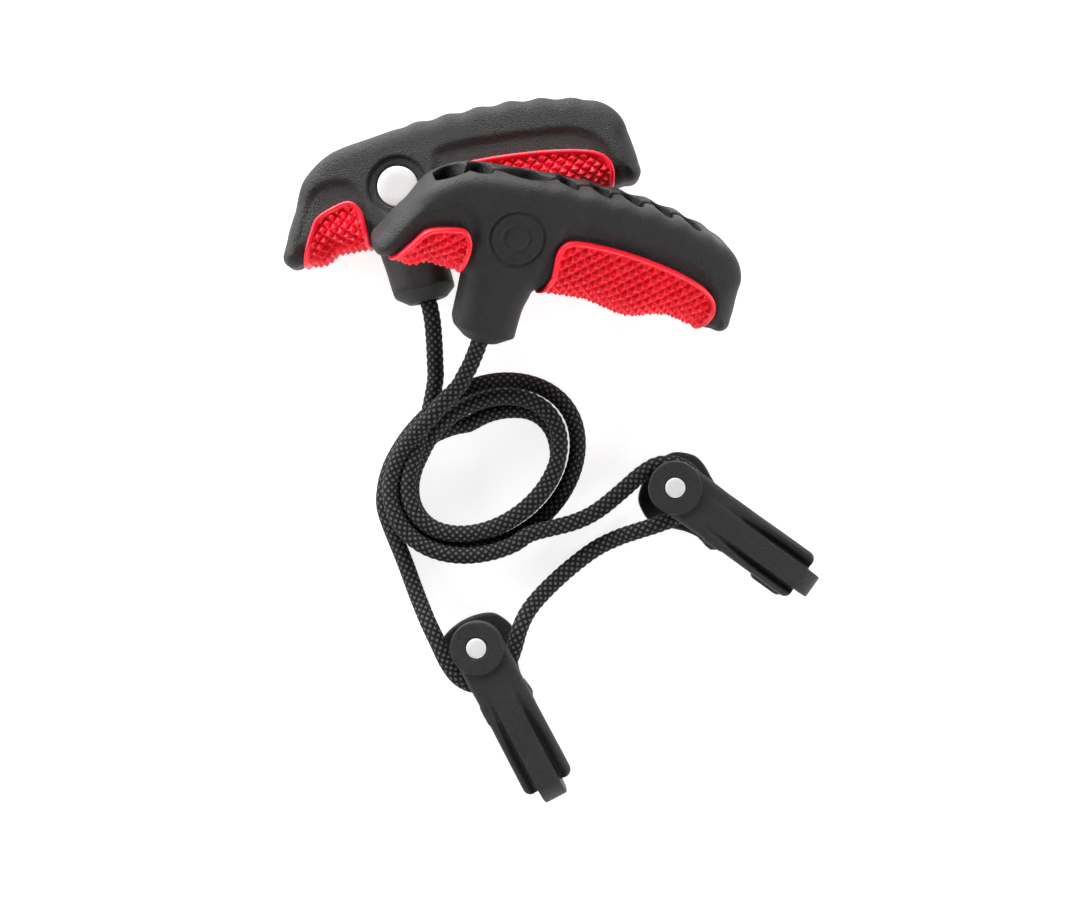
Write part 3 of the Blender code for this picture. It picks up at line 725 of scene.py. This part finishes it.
def lathe(name, profile, matrix, sides=64):
    """A turned piece: profile points of (radius, height), closed on the axis or as a ring."""
    profile = np.array(profile, float)
    turn = np.linspace(0.0, 2 * math.pi, sides, endpoint=False)
    points = np.stack([
        profile[:, 0] * np.cos(turn)[:, None], profile[:, 0] * np.sin(turn)[:, None],
        np.broadcast_to(profile[:, 1], (sides, len(profile))),
    ], -1).reshape(-1, 3)
    i, j = np.meshgrid(np.arange(sides), np.arange(len(profile) - 1), indexing="ij")
    k = (i + 1) % sides
    n = len(profile)
    quads = np.stack([i * n + j, k * n + j, k * n + j + 1, i * n + j + 1], -1).reshape(-1, 4)
    obj = mesh_object(name, placed(points, matrix), quads)
    mesh = bmesh.new()
    mesh.from_mesh(obj.data)
    bmesh.ops.remove_doubles(mesh, verts=mesh.verts, dist=1e-7)
    bmesh.ops.recalc_face_normals(mesh, faces=mesh.faces)
    mesh.to_mesh(obj.data)
    mesh.free()
    obj.data.shade_smooth()
    return obj


def soften(obj, degrees=35.0):
    """Shades smooth all but the edges sharper than an angle."""
    obj.data.set_sharp_from_angle(angle=math.radians(degrees))
    return obj


def make_handle(tag, place, flip):
    matrix = frame_at(*place)
    body = f"handle{tag}"
    shape = make_from_field(
        f"handle_shell{tag}", body_field, (-48, -45.5, -13.5), (88, 23.5, 13.5), STEP, matrix, flip
    )
    finished(shape, BLACK, "handle_plastic", body, f"handle_body{tag}")
    long_pad = make_from_field(
        f"long_grip{tag}", lambda u, v, w: pad_field(u, v, w, LONG_PAD_FRONT, LONG_PAD_BACK),
        (13.0, -19.5, -14.6), (80.0, 8.0, 14.6), PAD_STEP, matrix, flip,
    )
    finished(soften(long_pad, 24.0), RED, "grip_rubber", body, f"long_pad{tag}")
    short_pad = make_from_field(
        f"short_grip{tag}", lambda u, v, w: pad_field(u, v, w, SHORT_PAD, SHORT_PAD),
        (-42.0, -24.5, -14.6), (-12.0, 0.0, 14.6), PAD_STEP, matrix, flip,
    )
    finished(soften(short_pad, 24.0), RED, "grip_rubber", body, f"short_pad{tag}")
    top = HALF_THICK - DISH_DEEP + 0.15
    r = MAGNET_R
    magnet = lathe(f"magnet_disc{tag}", [
        (0.0, top), (r * 0.5, top), (r - 0.7, top), (r - 0.4, top - 0.08), (r - 0.12, top - 0.3),
        (r, top - 0.6), (r, top - 3.0), (0.0, top - 3.0),
    ], matrix @ Matrix.Rotation(0.0 if flip else math.pi, 4, "X"), 96)
    finished(soften(magnet), MAGNET, "magnet_steel", body, f"magnet{tag}")
    make_rope_end(tag, matrix)


# ---------------------------------------------------------------- hooks

REAR_PLATE = 4.5
GAP_TOP = 13.5
FRONT_TOP = 18.5
BOSS_TOP = 19.7
BOSS_R = 9.6
SHANK_HALF = 9.6
SHANK_END = 57.0
RIB_HALF = 4.6
VALLEY_DEEP = 2.9
VALLEY_GROWS = 2.9
THROAT_END = 57.0
CLAW_FROM = 36.0
CLAW_END = 63.0
LIP_FROM = 48.0
WEB_AT = 23.5
HOOK_STEP = 0.35
# Where each hook lies: place, then turn in degrees
HOOK_1 = ((-28.2, -70.0, 0.0), -62.2)
HOOK_2 = ((44.2, -11.6, 0.0), -35.8)
REAR_CHEEK = (
    (-10.1, 0.0), (-9.4, 5.8), (-7.4, 10.6), (-4.0, 13.2), (0.5, 14.8), (5.2, 14.0), (9.6, 12.0),
    (14.0, 10.2), (19.0, 9.2), (27.0, 9.0),
)


def shank_outline():
    corner = 2.9
    end = arc(SHANK_END - corner, SHANK_HALF - corner, corner, 90, 0, 6)
    start = [(6.0, SHANK_HALF + 0.1), (20.0, SHANK_HALF - 0.25), (38.0, SHANK_HALF - 0.1)]
    side = start + end
    return arc(0, 0, BOSS_R, -90, -270, 36) + side + [(x, -y) for x, y in reversed(side)]


def tip_profile():
    """The claw from the side, along the hook and up: the bend from the shank down to the lip."""
    outer = arc(CLAW_END - 8.0, FRONT_TOP - 8.0, 8.0, 90, 0, 8) + arc(CLAW_END - 5.0, 5.0, 5.0, 0, -90, 6)
    throat = THROAT_END - 3.0
    inner = arc(throat, REAR_PLATE + 3.0, 3.0, -90, 0, 5) + arc(throat, GAP_TOP - 3.0, 3.0, 0, 90, 5)
    top = [(CLAW_FROM, FRONT_TOP - 0.5), (CLAW_FROM + 10.0, FRONT_TOP - 0.04)]
    return [*top, *outer, (LIP_FROM, 0.0), (LIP_FROM, REAR_PLATE), *inner, (CLAW_FROM, GAP_TOP)]


def hook_field(a, p, h):
    across = np.abs(p)
    r = np.hypot(a, p)
    shank = polygon(a, p - 0.4, shank_outline())
    front = both(slab(shank, h, 9.0, FRONT_TOP, 2.4), GAP_TOP - h, 0.8)
    # Valleys either side of the rib, deepening and widening towards the tip
    reach = smoothstep(11.0, 46.0, a)
    valley = smoothstep(RIB_HALF - 0.1, RIB_HALF + 0.25, across) * (
        1.0 - smoothstep(RIB_HALF + 0.5, RIB_HALF + 1.4 + VALLEY_GROWS * reach, across)
    )
    front = both(front, h - (FRONT_TOP - VALLEY_DEEP * reach * valley), 0.3)
    boss = slab(r - BOSS_R, h, GAP_TOP + 0.4, BOSS_TOP, 0.35)
    cheek_line = REAR_CHEEK + tuple((x, -y) for x, y in reversed(REAR_CHEEK[1:]))
    cheek = slab(polygon(a + 0.2, p + 0.4, smooth_outline(cheek_line)), h, 0.0, REAR_PLATE, 0.9)
    web = both(both(np.abs(a - WEB_AT) - 3.0, across - SHANK_HALF + 0.7), both(1.0 - h, h - 17.0), 0.4)
    lip = slab(both(np.abs(a - 49.2) - 6.8, np.abs(p + 0.75) - 9.35, 2.5), h, 0.0, REAR_PLATE, 0.9)
    tip = slab(polygon(a, h, tip_profile()), p, -RIB_HALF + 0.2, RIB_HALF - 0.2, 0.5)
    body = either(either(either(front, cheek), web, 1.6), either(tip, lip, 1.2), 0.25)
    body = either(body, boss, 0.2)
    # The axle's hole, wider for the pin's head at the top and for the clip underneath
    hole = np.minimum(r - 2.8, both(r - 4.0, 17.9 - h))
    hole = np.minimum(hole, both(r - 4.3, h - 1.5))
    return both(body, -hole, 0.25)


def make_hook(tag, place):
    matrix = frame_at(*place)
    body = f"hook{tag}"
    shape = make_from_field(
        f"hook_shell{tag}", hook_field, (-10.6, -16.0, -1.0), (63.5, 16.0, 21.0), HOOK_STEP, matrix, False
    )
    finished(shape, HOOK_BLACK, "hook_plastic", body, f"hook_body{tag}")
    pin = lathe(f"pin{tag}", [
        (0.0, BOSS_TOP + 0.05), (2.6, BOSS_TOP + 0.03), (3.3, BOSS_TOP - 0.04), (3.62, BOSS_TOP - 0.22),
        (3.7, BOSS_TOP - 0.5), (3.7, 18.2), (2.5, 18.2), (2.5, 0.6), (2.2, 0.3), (0.0, 0.3),
    ], matrix)
    finished(soften(pin), STEEL, "pin_steel", body, f"axle_pin{tag}")
    low, high = REAR_PLATE + 0.3, GAP_TOP - 0.3
    mid = (low + high) / 2
    groove = [
        (4.4 + (1.0 - math.cos(math.radians(t))) * 4.0, mid + 3.3 * math.sin(math.radians(t)))
        for t in range(85, -90, -10)
    ]
    sheave = lathe(f"wheel{tag}", [
        (2.56, high), (4.2, high), (8.6, high), (8.9, high - 0.2), *groove, (8.9, low + 0.2), (8.6, low),
        (4.2, low), (2.56, low), (2.56, high),
    ], matrix)
    finished(soften(sheave), HOOK_BLACK, "sheave_plastic", f"sheave{tag}", f"sheave{tag}")


# ---------------------------------------------------------------- stage

def make_camera():
    eye = np.array((-5.0, 2.7, 700.0)) + LAYOUT_AT
    camera = bpy.data.cameras.new("camera")
    camera.sensor_width = 36.0
    camera.lens = 62.4
    camera.clip_start = 0.01
    obj = bpy.data.objects.new("camera", camera)
    obj.location = eye * MM
    bpy.context.scene.collection.objects.link(obj)
    bpy.context.scene.camera = obj


def softbox(name, place, size, radiance):
    """A rectangular soft light of a given radiance, aimed at the object."""
    light = bpy.data.lights.new(name, "AREA")
    light.shape = "RECTANGLE"
    light.size, light.size_y = size
    light.energy = radiance * math.pi * size[0] * size[1]
    obj = bpy.data.objects.new(name, light)
    obj.location = place
    obj.rotation_euler = (-Vector(place)).to_track_quat("-Z", "Y").to_euler()
    bpy.context.scene.collection.objects.link(obj)


def make_stage():
    size = 3.0
    corners = [(-size, -size, 0), (size, -size, 0), (size, size, 0), (-size, size, 0)]
    floor = mesh_object("floor", corners, [(0, 1, 2, 3)], smooth=False)
    n = Nodes("floor_paint")
    mottle = n.noise(9.0, 2.0, 0.5)
    n.set(Base_Color=n.ramp(mottle, (0.3, (0.44,) * 3), (0.7, (0.46,) * 3)), Roughness=0.9)
    # A lit floor, which hides all but the closest shadows
    n.shader.inputs["Emission Color"].default_value = (1.0, 1.0, 1.0, 1.0)
    n.shader.inputs["Emission Strength"].default_value = 0.8
    floor.data.materials.append(n.material)
    world = bpy.data.worlds.new("studio")
    world.use_nodes = True
    background = world.node_tree.nodes["Background"]
    background.inputs["Color"].default_value = (1.0, 1.0, 1.0, 1.0)
    background.inputs["Strength"].default_value = 0.18
    bpy.context.scene.world = world
    softbox("key", (-0.35, 1.0, 0.33), (1.0, 0.5), 26.0)
    softbox("right", (1.0, 0.1, 0.3), (0.7, 0.35), 11.0)
    softbox("left", (-1.0, 0.2, 0.34), (0.7, 0.3), 17.0)
    softbox("front", (0.3, -1.0, 0.4), (0.8, 0.4), 10.0)
    bpy.context.scene.view_settings.view_transform = "Standard"


make_camera()
make_rope()
make_handle("_a", HANDLE_A, False)
make_handle("_b", HANDLE_B, True)
make_hook("_1", HOOK_1)
make_hook("_2", HOOK_2)
for name in ("axle_clip_1", "axle_clip_2", "knot_washer_a", "knot_washer_b"):
    slots = bpy.data.objects[name].data.materials
    slots.clear()
    slots.append(STEEL)
make_stage()
